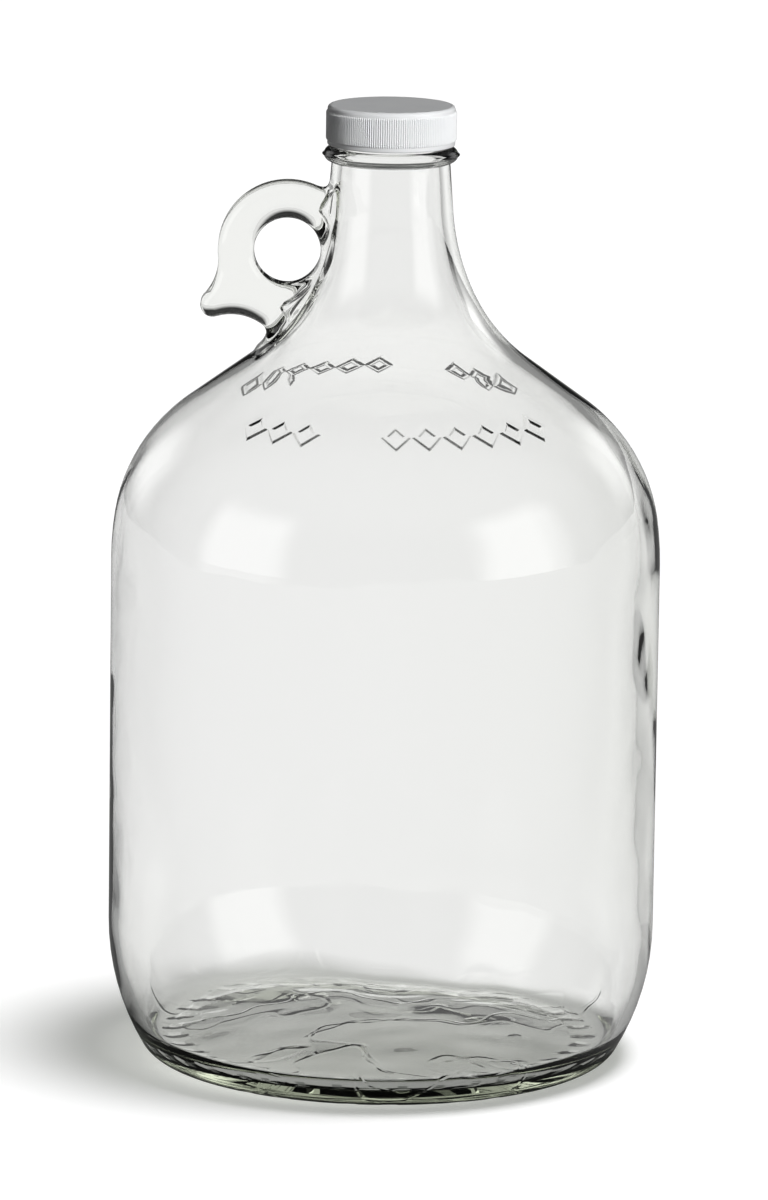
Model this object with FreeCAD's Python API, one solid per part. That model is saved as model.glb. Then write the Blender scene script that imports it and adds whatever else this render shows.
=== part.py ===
import FreeCAD, Part
import math
import os

os.makedirs("parts", exist_ok=True)

V = FreeCAD.Vector
Z_AXIS = V(0, 0, 1)
Y_AXIS = V(0, 1, 0)
ON_AXIS = V(0, 0, 0)

# A one-gallon glass jug with a finger ring at the neck and a ribbed screw cap.
# Millimetres, +Z up. The origin is the centre of the base, on the surface it stands on.
# The finger ring lies in the X-Z plane, on the -X side.

# --- glass body ---
body_radius = 83.5
jug_height = 291.4                # base to the lip that the cap seats on
wall = 3.5                        # body, shoulder and neck

# --- base and heel ---
push_up = 5.0                     # rise of the underside at its centre
floor_thickness = 6.0             # at the centre
floor_edge_height = 6.5           # inside floor where it meets the inner heel
bearing_width = 5.5               # flat ring that the jug stands on
heel_low_radius = 8.4
heel_low_turn = 59.6              # degrees; the upper heel arc turns the rest to vertical
heel_high_radius = 73.5
inner_heel_turn = 24.0            # how far the inside follows the upper heel arc down
knurl_count = 39                  # shallow grooves across the bearing ring
knurl_depth = 0.8
knurl_half_width = 1.7

# --- shoulder and neck ---
shoulder_low_radius = 89.7
shoulder_low_turn = 8.8
shoulder_high_radius = 51.8
shoulder_slope = 54.0             # steepest lean of the shoulder from vertical
sweep_low_radius = 54.5           # concave sweep up into the neck
sweep_low_turn = 28.9
sweep_high_radius = 70.6
neck_taper = 4.3                  # lean of the neck from vertical
neck_length = 15.0
neck_radius = 17.9                # just under the bead

# --- finish: bead and mouth ---
bead_height = 4.4
bead_bulge = 2.4                  # bead radius beyond the neck
ridge_height = 0.8                # parting ridge round the bead
ridge_depth = 0.5
finish_radius = 17.4              # plain wall above the bead, without its thread
finish_wall = 3.0
thread_depth = 1.0                # how far that thread would stand out
finish_height = 11.1              # bead to lip
lip_rounding = 0.9

# --- finger ring and its thumb spur ---
ring_reach = 12.95                # centre of the finger hole beyond the neck's radius
ring_drop = 42.9                  # and below the lip
finger_hole_radius = 10.25
ring_radius = 21.1
ring_thickness = 12.5
ring_rounding = 3.4
spur_overhang = 1.4               # centre of the spur's tip beyond the ring
spur_drop = 16.7                  # and below the hole's centre
spur_tip_radius = 3.7
spur_flank_radius = 16.0          # concave outer flank between ring and spur
arch_radius = 16.0                # concave underside of the spur
notch_radius = 4.9                # round end of the notch between spur and shoulder
notch_turn = 5.9                  # degrees up the concave sweep from its foot to the notch
notch_bite = 0.4                  # how far the notch's circle dips into the shoulder
root_fillet = 3.0                 # where the ring runs into neck and shoulder

# --- hollows that the blown glass leaves in the ring's two roots ---
pocket_mouth_radius = 5.0
pocket_tip_radius = 2.0
pocket_depth = 11.0               # from the middle of the mouth to the middle of the tip
upper_pocket_reach = 9.8          # tip of the upper hollow, inward from the hole's centre
upper_pocket_rise = 13.0
upper_pocket_lean = 15.0          # degrees above horizontal
lower_pocket_reach = -0.6
lower_pocket_rise = -16.8
lower_pocket_lean = 5.0

# --- cap ---
cap_top_thickness = 1.6
cap_wall = 0.8                    # skirt, at the plain bands above and below the ribs
cap_clearance = 0.1               # round the thread of the finish
skirt_gap = 0.7                   # between the skirt and the bead
cap_edge_rounding = 1.2
rib_count = 180
rib_depth = 0.4
rib_seat = 0.05                   # rib valleys stand this far off the plain bands
upper_band = 1.8                  # plain bands above and below the ribs
lower_band = 1.4

seam_tolerance = 0.001


def sin(degrees):
    return math.sin(math.radians(degrees))


def cos(degrees):
    return math.cos(math.radians(degrees))


def tangent_path(start, heading, steps):
    """Lines and tangent arcs in the X-Z plane; returns the edges and the end point.

    A step is (length,) for a line or (radius, turn) for an arc, and a positive turn
    bends to the left of the direction of travel.
    """
    edges = []
    point = start
    for step in steps:
        if len(step) == 1:
            end = point + V(cos(heading), 0, sin(heading)) * step[0]
            edges.append(Part.LineSegment(point, end).toShape())
        else:
            radius, turn = step
            side = 1 if turn > 0 else -1
            centre = point + V(-sin(heading), 0, cos(heading)) * (radius * side)
            middle = centre + V(sin(heading + turn / 2), 0, -cos(heading + turn / 2)) * (radius * side)
            heading += turn
            end = centre + V(sin(heading), 0, -cos(heading)) * (radius * side)
            edges.append(Part.Arc(point, middle, end).toShape())
        point = end
    return edges, point


def travel(heading, steps):
    """How far a tangent path goes along X and Z."""
    edges, end = tangent_path(ON_AXIS, heading, steps)
    return end


def lines(points):
    return [Part.LineSegment(a, b).toShape() for a, b in zip(points, points[1:])]


def arc(start, middle, end):
    return Part.Arc(start, middle, end).toShape()


def turned(edges):
    """The solid of revolution about Z of a closed outline in the X-Z plane."""
    return Part.Face(Part.Wire(Part.__sortEdges__(edges))).revolve(ON_AXIS, Z_AXIS, 360)


# The shoulder's straight run takes up what the arcs leave between body and neck, and the
# cylinder takes up the height that is left.
sweep_high_turn = shoulder_slope - sweep_low_turn - neck_taper
shoulder_high_turn = shoulder_slope - shoulder_low_turn


def shoulder_steps(inset, slope_length):
    return [
        (shoulder_low_radius - inset, shoulder_low_turn),
        (shoulder_high_radius - inset, shoulder_high_turn),
        (slope_length,),
        (sweep_low_radius + inset, -sweep_low_turn),
        (sweep_high_radius + inset, -sweep_high_turn),
        (neck_length,),
    ]


heel_steps = [(heel_low_radius, heel_low_turn), (heel_high_radius, 90 - heel_low_turn)]
heel_travel = travel(0, heel_steps)
bearing_outer_radius = body_radius - heel_travel.x
bearing_inner_radius = bearing_outer_radius - bearing_width

bends_only = travel(90, [step for step in shoulder_steps(0, 0) if step != (0,)])
slope_length = (body_radius - neck_radius + bends_only.x) / sin(shoulder_slope)
shoulder_travel = travel(90, shoulder_steps(0, slope_length))
bead_bottom = jug_height - finish_height - bead_height
cylinder_height = bead_bottom - shoulder_travel.z - heel_travel.z



def outer_glass():
    """Base, heel, body, shoulder, neck, bead and finish, still solid."""
    dome_radius = (bearing_inner_radius ** 2 + push_up ** 2) / (2 * push_up)
    half_angle = math.degrees(math.asin(bearing_inner_radius / dome_radius)) / 2
    dome_middle = V(dome_radius * sin(half_angle), 0, push_up - dome_radius * (1 - cos(half_angle)))
    base_centre = V(0, 0, push_up)
    bearing_inner = V(bearing_inner_radius, 0, 0)
    bearing_outer = V(bearing_outer_radius, 0, 0)
    edges = [arc(base_centre, dome_middle, bearing_inner)]
    edges += lines([bearing_inner, bearing_outer])
    steps = heel_steps + [(cylinder_height,)] + shoulder_steps(0, slope_length)
    side, neck_top = tangent_path(bearing_outer, 0, steps)
    edges += side

    bead_middle = bead_bottom + bead_height / 2
    bulge = V(neck_radius + bead_bulge, 0, bead_middle)
    ridge = V(bulge.x + ridge_depth, 0, bead_middle)
    half_ridge = V(0, 0, ridge_height / 2)
    corner = bead_bulge * (1 - cos(45))
    low_shoulder = V(bulge.x - corner, 0, bead_bottom + bead_height / 2 * (1 - sin(45)))
    high_shoulder = V(low_shoulder.x, 0, 2 * bead_middle - low_shoulder.z)
    bead_top = V(neck_radius, 0, bead_bottom + bead_height)
    edges.append(arc(neck_top, low_shoulder, bulge - half_ridge))
    edges += lines([bulge - half_ridge, ridge, bulge + half_ridge])
    edges.append(arc(bulge + half_ridge, high_shoulder, bead_top))

    lip_side = V(finish_radius, 0, jug_height - lip_rounding)
    lip_corner = V(finish_radius - lip_rounding * (1 - cos(45)), 0, jug_height - lip_rounding * (1 - sin(45)))
    lip_top = V(finish_radius - lip_rounding, 0, jug_height)
    edges += lines([bead_top, V(finish_radius, 0, bead_top.z), lip_side])
    edges.append(arc(lip_side, lip_corner, lip_top))
    edges += lines([lip_top, V(0, 0, jug_height), base_centre])
    return turned(edges)


def cavity():
    """The inside, from the domed floor out through the mouth."""
    high_radius = heel_high_radius - wall
    heel_join = V(
        body_radius - wall - high_radius * (1 - cos(inner_heel_turn)),
        0,
        heel_travel.z - high_radius * sin(inner_heel_turn),
    )
    low_radius = (heel_join.z - floor_edge_height) / (1 - sin(inner_heel_turn))
    floor_edge = V(heel_join.x - low_radius * cos(inner_heel_turn), 0, floor_edge_height)
    floor_centre = V(0, 0, push_up + floor_thickness)
    rise = floor_centre.z - floor_edge.z
    dome_radius = (floor_edge.x ** 2 + rise ** 2) / (2 * rise)
    half_angle = math.degrees(math.asin(floor_edge.x / dome_radius)) / 2
    floor_middle = V(dome_radius * sin(half_angle), 0, floor_centre.z - dome_radius * (1 - cos(half_angle)))
    steps = [(low_radius, 90 - inner_heel_turn), (high_radius, inner_heel_turn), (cylinder_height,)]
    steps += shoulder_steps(wall, slope_length)
    side, neck_top = tangent_path(floor_edge, 0, steps)
    bore_radius = finish_radius - finish_wall
    bore_foot = V(bore_radius, 0, bead_bottom + bead_height)
    above_lip = V(0, 0, jug_height + finish_height)
    edges = [arc(floor_centre, floor_middle, floor_edge)] + side
    edges += lines([neck_top, bore_foot, V(bore_radius, 0, above_lip.z), above_lip, floor_centre])
    return turned(edges)


def point_off_sweep(turn, height):
    """A point on the -X side, off the concave sweep above the shoulder's straight run."""
    low_steps = heel_steps + [(cylinder_height,)] + shoulder_steps(0, slope_length)[:3]
    foot = V(bearing_outer_radius, 0, 0) + travel(0, low_steps)
    heading = 90 + shoulder_slope
    centre = foot + V(sin(heading), 0, -cos(heading)) * sweep_low_radius
    heading -= turn
    point = centre - V(sin(heading), 0, -cos(heading)) * (sweep_low_radius - height)
    return V(-point.x, 0, point.z)


# The finger ring's outline is a chain of tangent circles round the centre of its hole.
hole_centre = V(-neck_radius - ring_reach, 0, jug_height - ring_drop)
spur_centre = hole_centre - V(ring_radius + spur_overhang, 0, spur_drop)
notch_centre = point_off_sweep(notch_turn, notch_radius - notch_bite)


def meeting_point(centre_a, distance_a, centre_b, distance_b, side):
    """The point at given distances from two centres, to the left (+1) or right (-1) of a to b."""
    across = centre_b - centre_a
    along = (distance_a ** 2 - distance_b ** 2 + across.Length ** 2) / (2 * across.Length)
    off = math.sqrt(distance_a ** 2 - along ** 2)
    unit = across.normalize()
    return centre_a + unit * along + V(-unit.z, 0, unit.x) * (off * side)


def toward(start, goal, distance):
    return start + (goal - start).normalize() * distance


def arc_round(centre, radius, start, end):
    """The shorter arc about a centre between two points on its circle."""
    middle = toward(centre, (start + end) * 0.5, radius)
    return arc(start, middle, end)


def ring_outline():
    """Closed outline of the ring and spur, run on into the neck and shoulder."""
    flank_centre = meeting_point(
        hole_centre, ring_radius + spur_flank_radius, spur_centre, spur_tip_radius + spur_flank_radius, -1
    )
    arch_centre = meeting_point(
        spur_centre, spur_tip_radius + arch_radius, notch_centre, arch_radius - notch_radius, -1
    )
    ring_inner = hole_centre + V(cos(45), 0, sin(45)) * ring_radius
    ring_flank = toward(hole_centre, flank_centre, ring_radius)
    tip_flank = toward(spur_centre, flank_centre, spur_tip_radius)
    tip_far = spur_centre + V(-cos(40), 0, -sin(40)) * spur_tip_radius
    tip_arch = toward(spur_centre, arch_centre, spur_tip_radius)
    arch_notch = toward(arch_centre, notch_centre, arch_radius)
    notch_end = notch_centre + V(sin(36), 0, -cos(36)) * notch_radius
    notch_inner = V(ring_inner.x, 0, notch_end.z)
    ring_top = hole_centre + V(-cos(75), 0, sin(75)) * ring_radius
    return [
        arc(ring_inner, ring_top, ring_flank),
        arc_round(flank_centre, spur_flank_radius, ring_flank, tip_flank),
        arc(tip_flank, tip_far, tip_arch),
        arc_round(arch_centre, arch_radius, tip_arch, arch_notch),
        arc_round(notch_centre, notch_radius, arch_notch, notch_end),
    ] + lines([notch_end, notch_inner, ring_inner])


def finger_ring():
    face = Part.Face(Part.Wire(Part.__sortEdges__(ring_outline())))
    half = V(0, ring_thickness / 2, 0)
    plate = face.extrude(half * 2)
    plate.translate(-half)
    hole = Part.makeCylinder(finger_hole_radius, ring_thickness * 2, hole_centre - half * 2, Y_AXIS)
    plate = plate.cut(hole)
    rim = [e for e in plate.Edges if e.Curve.TypeId == "Part::GeomCircle"
           and abs(abs(e.Curve.Center.y) - ring_thickness / 2) < 0.01]
    return plate.makeFillet(ring_rounding, rim)



def seam_edges(joined, piece_a, piece_b):
    """The edges of a joined solid along which two of its pieces met."""
    skin_a = Part.Compound(piece_a.Faces)
    skin_b = Part.Compound(piece_b.Faces)
    found = []
    for edge in joined.Edges:
        span = edge.LastParameter - edge.FirstParameter
        probes = [Part.Vertex(edge.valueAt(edge.FirstParameter + span * part)) for part in (0.1, 0.5, 0.9)]
        gaps = [max(probe.distToShape(skin_a)[0], probe.distToShape(skin_b)[0]) for probe in probes]
        if max(gaps) < seam_tolerance:
            found.append(edge)
    return found


def pocket(reach, rise, lean):
    """A tapering hollow with a round tip, pointing out into a root of the ring."""
    slant = math.degrees(math.asin((pocket_mouth_radius - pocket_tip_radius) / pocket_depth))
    tip = V(0, 0, pocket_depth)
    mouth_rim = V(cos(slant), 0, sin(slant)) * pocket_mouth_radius
    tip_rim = tip + V(cos(slant), 0, sin(slant)) * pocket_tip_radius
    tip_middle = tip + V(sin(45 - slant / 2), 0, cos(45 - slant / 2)) * pocket_tip_radius
    tip_end = tip + V(0, 0, pocket_tip_radius)
    mouth_floor = V(0, 0, -pocket_mouth_radius)
    mouth_middle = V(cos(slant / 2 - 45), 0, sin(slant / 2 - 45)) * pocket_mouth_radius
    hollow = turned([
        arc(mouth_floor, mouth_middle, mouth_rim),
        *lines([mouth_rim, tip_rim]),
        arc(tip_rim, tip_middle, tip_end),
        *lines([tip_end, mouth_floor]),
    ])
    hollow.rotate(ON_AXIS, Y_AXIS, lean - 90)
    out = V(-cos(lean), 0, sin(lean))
    hollow.translate(hole_centre + V(reach, 0, rise) - out * pocket_depth)
    return hollow


def knurls():
    """Round-bottomed grooves across the bearing ring, spaced evenly round it."""
    groove_radius = (knurl_half_width ** 2 + knurl_depth ** 2) / (2 * knurl_depth)
    start = V(bearing_inner_radius - groove_radius, 0, knurl_depth - groove_radius)
    length = body_radius - start.x
    groove = Part.makeCylinder(groove_radius, length, start, V(1, 0, 0))
    grooves = []
    for index in range(knurl_count):
        turn = groove.copy()
        turn.rotate(ON_AXIS, Z_AXIS, 360 * (index + 0.5) / knurl_count)
        grooves.append(turn)
    return grooves


def make_jug():
    solid_glass = outer_glass()
    ring = finger_ring()
    joined = solid_glass.fuse(ring)
    blended = joined.makeFillet(root_fillet, seam_edges(joined, solid_glass, ring))
    hollow = cavity().fuse([
        pocket(upper_pocket_reach, upper_pocket_rise, upper_pocket_lean),
        pocket(lower_pocket_reach, lower_pocket_rise, lower_pocket_lean),
    ])
    return blended.cut(hollow).cut(knurls())


def make_cap():
    """A top and a skirt with a band of fine ribs; the underside of the top rests on the lip."""
    cap_bore_radius = finish_radius + thread_depth + cap_clearance
    cap_radius = cap_bore_radius + cap_wall
    cap_top = jug_height + cap_top_thickness
    skirt_bottom = jug_height - finish_height + skirt_gap
    edge_start = V(cap_radius - cap_edge_rounding, 0, cap_top)
    edge_middle = edge_start + V(sin(45), 0, cos(45) - 1) * cap_edge_rounding
    edge_end = V(cap_radius, 0, cap_top - cap_edge_rounding)
    shell = turned(
        lines([V(0, 0, jug_height), V(0, 0, cap_top), edge_start])
        + [arc(edge_start, edge_middle, edge_end)]
        + lines([
            edge_end,
            V(cap_radius, 0, skirt_bottom),
            V(cap_bore_radius, 0, skirt_bottom),
            V(cap_bore_radius, 0, jug_height),
            V(0, 0, jug_height),
        ])
    )
    band_bottom = skirt_bottom + lower_band
    band_length = cap_top - upper_band - band_bottom
    valley_radius = cap_radius + rib_seat
    zigzag = []
    for index in range(2 * rib_count):
        radius = valley_radius + rib_depth * (index % 2)
        angle = 180 * index / rib_count
        zigzag.append(V(radius * cos(angle), radius * sin(angle), band_bottom))
    outline = Part.Wire(lines(zigzag + zigzag[:1]))
    band = Part.Face(outline).extrude(V(0, 0, band_length))
    core = Part.makeCylinder(cap_bore_radius + cap_wall / 2, band_length, V(0, 0, band_bottom))
    return shell.fuse(band.cut(core))


jug = make_jug()
cap = make_cap()
print("jug", jug.isValid(), len(jug.Solids), jug.Volume / 1e6)
print("cap", cap.isValid(), len(cap.Solids), cap.Volume / 1e3)
jug.Solids[0].exportStep("parts/jug.step")
cap.Solids[0].exportStep("parts/cap.step")
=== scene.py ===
import math

import bpy
import bmesh
import numpy as np
from mathutils import Matrix, Vector


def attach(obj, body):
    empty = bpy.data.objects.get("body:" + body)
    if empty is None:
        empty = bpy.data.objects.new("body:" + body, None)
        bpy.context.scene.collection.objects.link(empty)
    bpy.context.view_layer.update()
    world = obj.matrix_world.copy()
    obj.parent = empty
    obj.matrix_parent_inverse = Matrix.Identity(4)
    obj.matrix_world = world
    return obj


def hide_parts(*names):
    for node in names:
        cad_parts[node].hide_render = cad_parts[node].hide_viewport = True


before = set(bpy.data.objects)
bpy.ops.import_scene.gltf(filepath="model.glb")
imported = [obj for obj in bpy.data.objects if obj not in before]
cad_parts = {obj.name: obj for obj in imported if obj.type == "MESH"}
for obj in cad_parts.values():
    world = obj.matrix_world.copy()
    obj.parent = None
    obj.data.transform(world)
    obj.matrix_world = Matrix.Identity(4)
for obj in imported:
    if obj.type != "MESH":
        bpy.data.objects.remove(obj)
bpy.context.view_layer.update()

# The looks of a one-gallon glass jug with a finger ring and a ribbed white screw cap.
# Sizes are millimetres, as in the CAD source, and meshes are made in metres.
MM = 0.001

# --- glass body, as in the CAD source ---
body_radius = 83.5
jug_height = 291.4
wall = 3.5
push_up = 5.0
floor_thickness = 6.0
floor_edge_height = 6.5
bearing_width = 5.5
heel_low_radius = 8.4
heel_low_turn = 59.6
heel_high_radius = 73.5
inner_heel_turn = 24.0
knurl_count = 39
knurl_depth = 0.8
knurl_half_width = 1.7
knurl_run_in = 3.0                # where the grooves fade out, inside the bearing ring
shoulder_low_radius = 89.7
shoulder_low_turn = 8.8
shoulder_high_radius = 51.8
shoulder_slope = 54.0
sweep_low_radius = 54.5
sweep_low_turn = 28.9
sweep_high_radius = 70.6
neck_taper = 4.3
neck_length = 15.0
neck_radius = 17.9
bead_height = 4.4
bead_bulge = 2.4
ridge_depth = 0.5
ridge_half_angle = 10.0           # of the bead's arc that the parting ridge takes up
finish_radius = 17.4
finish_wall = 3.0
thread_depth = 1.0
thread_pitch = 4.23
thread_turns = 1.55
thread_half_width = 1.35
thread_start = 2.6                # above the bead
thread_fade = 0.06                # part of a turn over which each end fades
finish_height = 11.1
lip_rounding = 0.9

# --- finger ring and spur, as in the CAD source ---
ring_reach = 12.95
ring_drop = 42.9
ring_radius = 21.1
ring_thickness = 12.5
ring_rounding = 3.4
spur_overhang = 1.4
spur_drop = 16.7
spur_tip_radius = 3.7
spur_flank_radius = 16.0
arch_radius = 16.0
notch_radius = 4.9
notch_turn = 5.9
notch_bite = 0.4
ring_start_bearing = 20.0         # where the outline starts, inside the neck, and where it
notch_end_bearing = -54.0         # ends, inside the shoulder
root_blend = 4.4                  # how widely the ring melts into neck and shoulder
finger_hole_waist = 9.95          # radius of the hole at its narrowest, and its draft
finger_hole_draft = 0.03
finger_hole_edge = 0.8            # softening of the hole's edges

# --- cap, as in the CAD source ---
cap_top_thickness = 1.6
cap_wall = 0.8
cap_clearance = 0.1
skirt_gap = 0.7
cap_edge_rounding = 1.2
rib_count = 180
rib_depth = 0.4
rib_crown = 0.03                  # the rounded ribs' middles stand this much higher
upper_band = 1.8
lower_band = 1.4

# --- mesh resolution ---
ring_sector = 34.0                # degrees each side of the ring that get fine columns
fine_step = 1.1                   # degrees between columns near the ring, and elsewhere
coarse_step = 2.5
net_low = 207.0                   # heights between which glass is meshed round the ring
net_high = 275.0
net_cell = 1.0
skin_inset = 0.9995               # keeps the smooth skin inside the faceted CAD solid
side_row_gap = 9.0                # most millimetres between rows of the outside, and most
side_row_bend = 4.0               # degrees round its bends; then the same for the inside
inner_row_gap = 2.2
inner_row_bend = 3.0
mark_row_gap = 0.32               # between rows in the band of marks
mark_cuts = 7                     # extra columns cut into each face under a mark
middle_radius = 1.5               # of the first row round the axis, below and inside
under_row_count = 24
floor_row_count = 34
bead_arc_steps = 8
relax_rounds = 5
rib_steps = 8                     # mesh columns to one rib of the cap


def smooth_max(a, b, width):
    h = np.maximum(width - np.abs(a - b), 0.0) / width
    return np.maximum(a, b) + h * h * width / 4


def smooth_min(a, b, width):
    return -smooth_max(-a, -b, width)


def bump(distance, half_width):
    """1 in the middle, falling smoothly to 0 at half_width."""
    t = np.clip(1 - np.abs(distance) / half_width, 0.0, 1.0)
    return t * t * (3 - 2 * t)


# ---------------------------------------------------------------- outlines


class Chain:
    """Lines and arcs in a plane, each tangent to the next, starting along a heading.

    A step is (length,) for a line or (radius, turn) for an arc. A positive turn bends left.
    """

    def __init__(self, start, heading, steps):
        self.parts = []
        point = np.array(start, float)
        angle = math.radians(heading)
        for step in steps:
            ahead = np.array([math.cos(angle), math.sin(angle)])
            left = np.array([-ahead[1], ahead[0]])
            if len(step) == 1:
                self.parts.append(("line", point, ahead, step[0]))
                point = point + ahead * step[0]
                continue
            radius = step[0]
            turn = math.radians(step[1])
            side = 1.0 if turn > 0 else -1.0
            centre = point + left * radius * side
            middle = angle + turn / 2 - side * math.pi / 2
            self.parts.append(("arc", centre, radius, side, middle, abs(turn) / 2, angle))
            angle += turn
            point = centre - np.array([-math.sin(angle), math.cos(angle)]) * radius * side
        self.end = point
        self.end_angle = angle

    def distance(self, u, v):
        """Signed distance of points, positive on the left of the direction of travel.

        Points nearest to the last point of all count as right of it.
        """
        best = np.full(np.shape(u), 1e9)
        for part in self.parts:
            if part[0] == "line":
                _, point, ahead, length = part
                du = u - point[0]
                dv = v - point[1]
                along = du * ahead[0] + dv * ahead[1]
                signed = dv * ahead[0] - du * ahead[1]
                inside = (along >= -1e-6) & (along <= length + 1e-6)
            else:
                _, centre, radius, side, middle, half, _ = part
                du = u - centre[0]
                dv = v - centre[1]
                reach = np.hypot(du, dv)
                signed = (radius - reach) * side
                cosine = du * math.cos(middle) + dv * math.sin(middle)
                inside = cosine >= reach * math.cos(half) - 1e-6
            closer = inside & (np.abs(signed) < np.abs(best))
            best = np.where(closer, signed, best)
        past_end = np.hypot(u - self.end[0], v - self.end[1])
        return np.where(past_end < np.abs(best) - 1e-9, -past_end, best)

    def points(self, spacing, bend):
        """Points along the chain, at most spacing apart and bend degrees round an arc."""
        found = []
        for part in self.parts:
            if part[0] == "line":
                _, point, ahead, length = part
                count = max(1, math.ceil(length / spacing))
                found += [point + ahead * length * i / count for i in range(count)]
            else:
                _, centre, radius, side, middle, half, start = part
                turn = 2 * half
                by_length = math.ceil(turn * radius / spacing)
                by_bend = math.ceil(math.degrees(turn) / bend)
                count = max(1, by_length, by_bend)
                for i in range(count):
                    angle = start + side * turn * i / count
                    left = np.array([-math.sin(angle), math.cos(angle)])
                    found.append(centre - left * radius * side)
        return found + [self.end]


def travel(heading, steps):
    """How far a chain of steps gets from its start."""
    return Chain((0, 0), heading, steps).end


sweep_high_turn = shoulder_slope - sweep_low_turn - neck_taper
shoulder_high_turn = shoulder_slope - shoulder_low_turn


def shoulder_steps(inset, slope_length):
    """Steps of the shoulder, sweep and neck, at an inset from the outside."""
    steps = [
        (shoulder_low_radius - inset, shoulder_low_turn),
        (shoulder_high_radius - inset, shoulder_high_turn),
        (slope_length,),
        (sweep_low_radius + inset, -sweep_low_turn),
        (sweep_high_radius + inset, -sweep_high_turn),
        (neck_length,),
    ]
    return [step for step in steps if step != (0,)]


heel_steps = [(heel_low_radius, heel_low_turn), (heel_high_radius, 90 - heel_low_turn)]
heel_travel = travel(0, heel_steps)
bearing_outer_radius = body_radius - heel_travel[0]
bearing_inner_radius = bearing_outer_radius - bearing_width
bends_only = travel(90, shoulder_steps(0, 0))
slope_inward = body_radius - neck_radius + bends_only[0]
slope_length = slope_inward / math.sin(math.radians(shoulder_slope))
outer_shoulder_steps = shoulder_steps(0, slope_length)
bead_bottom = jug_height - finish_height - bead_height
bead_top = bead_bottom + bead_height
cylinder_height = bead_bottom - travel(90, outer_shoulder_steps)[1] - heel_travel[1]
body_steps = heel_steps + [(cylinder_height,)]
outer_side = Chain((bearing_outer_radius, 0), 0, body_steps + outer_shoulder_steps)

# ---------------------------------------------------------------- finger ring

hole_centre = np.array([-neck_radius - ring_reach, jug_height - ring_drop])
spur_centre = hole_centre - np.array([ring_radius + spur_overhang, spur_drop])


def off_sweep(turn, height):
    """A point on the -X side, off the concave sweep above the shoulder's straight run."""
    foot = Chain((bearing_outer_radius, 0), 0, body_steps + outer_shoulder_steps[:3])
    heading = foot.end_angle
    outward = np.array([math.sin(heading), -math.cos(heading)])
    centre = foot.end + outward * sweep_low_radius
    heading -= math.radians(turn)
    outward = np.array([math.sin(heading), -math.cos(heading)])
    point = centre - outward * (sweep_low_radius - height)
    return np.array([-point[0], point[1]])


notch_centre = off_sweep(notch_turn, notch_radius - notch_bite)


def meeting_point(centre_a, distance_a, centre_b, distance_b, side):
    """The point at given distances from two centres, left (+1) or right (-1) of a to b."""
    across = centre_b - centre_a
    gap = np.hypot(*across)
    along = (distance_a ** 2 - distance_b ** 2 + gap ** 2) / (2 * gap)
    off = math.sqrt(distance_a ** 2 - along ** 2)
    unit = across / gap
    return centre_a + unit * along + np.array([-unit[1], unit[0]]) * off * side


flank_centre = meeting_point(
    hole_centre,
    ring_radius + spur_flank_radius,
    spur_centre,
    spur_tip_radius + spur_flank_radius,
    -1,
)
arch_centre = meeting_point(
    spur_centre,
    spur_tip_radius + arch_radius,
    notch_centre,
    arch_radius - notch_radius,
    -1,
)


def bearing_of(centre, point):
    """Direction of a point from a centre, in degrees."""
    return math.degrees(math.atan2(point[1] - centre[1], point[0] - centre[0]))


def turn_between(start, end, side):
    """Degrees turned from one bearing to another, anticlockwise (+1) or clockwise (-1)."""
    return ((end - start) * side) % 360 * side


def ring_chain():
    """The ring's outline from inside the neck, over the top, round the spur to the shoulder."""
    flank_bearing = bearing_of(hole_centre, flank_centre)
    start_turn = math.radians(ring_start_bearing)
    start = hole_centre + ring_radius * np.array([math.cos(start_turn), math.sin(start_turn)])
    tip_start = bearing_of(spur_centre, flank_centre)
    tip_end = bearing_of(spur_centre, arch_centre)
    arch_start = bearing_of(arch_centre, spur_centre)
    arch_end = bearing_of(arch_centre, notch_centre)
    return Chain(start, ring_start_bearing + 90, [
        (ring_radius, turn_between(ring_start_bearing, flank_bearing, 1)),
        (spur_flank_radius, turn_between(flank_bearing + 180, tip_start + 180, -1)),
        (spur_tip_radius, turn_between(tip_start, tip_end, 1)),
        (arch_radius, turn_between(arch_start, arch_end, -1)),
        (notch_radius, turn_between(arch_end, notch_end_bearing, -1)),
    ])


ring_outline = ring_chain()


def ring_field(x, y, z):
    """Signed distance to the ring's plate with its rounded rims, negative in the glass."""
    outline = -ring_outline.distance(x, z)
    inner = hole_centre[0] + ring_radius * math.cos(math.radians(ring_start_bearing))
    outline = np.where(x > inner, x - inner, outline)
    hole = finger_hole_waist - np.hypot(x - hole_centre[0], z - hole_centre[1])
    across = np.maximum(outline, hole) + ring_rounding
    through = np.abs(y) - ring_thickness / 2 + ring_rounding
    corner = np.hypot(np.maximum(across, 0), np.maximum(through, 0))
    return np.minimum(np.maximum(across, through), 0) + corner - ring_rounding


# ---------------------------------------------------------------- raised marks

mark_low = 199.6                  # heights of the band of marks on the shoulder
mark_high = 205.0
mark_stroke = 1.5                 # half-width of the raised line's foot
mark_relief = 0.4
mark_half_height = 4.2            # along the slope
mark_half_width = 3.4
mark_margin = 2.0                 # finely meshed below and above the band
# first and last bearing of each group on the front, and how many marks it holds
mark_groups = [(-134.0, -109.0, 3), (-92.0, -39.5, 6)]


def mark_bearings():
    """Bearings of the marks on the front, and the same again on the back."""
    found = []
    for first, last, count in mark_groups:
        step = (last - first) / count
        found += [first + step * (i + 0.5) for i in range(count)]
    return found + [bearing + 180 for bearing in found]


slope_middle = (mark_low + mark_high) / 2
slope_cosine = math.cos(math.radians(shoulder_slope))


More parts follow.
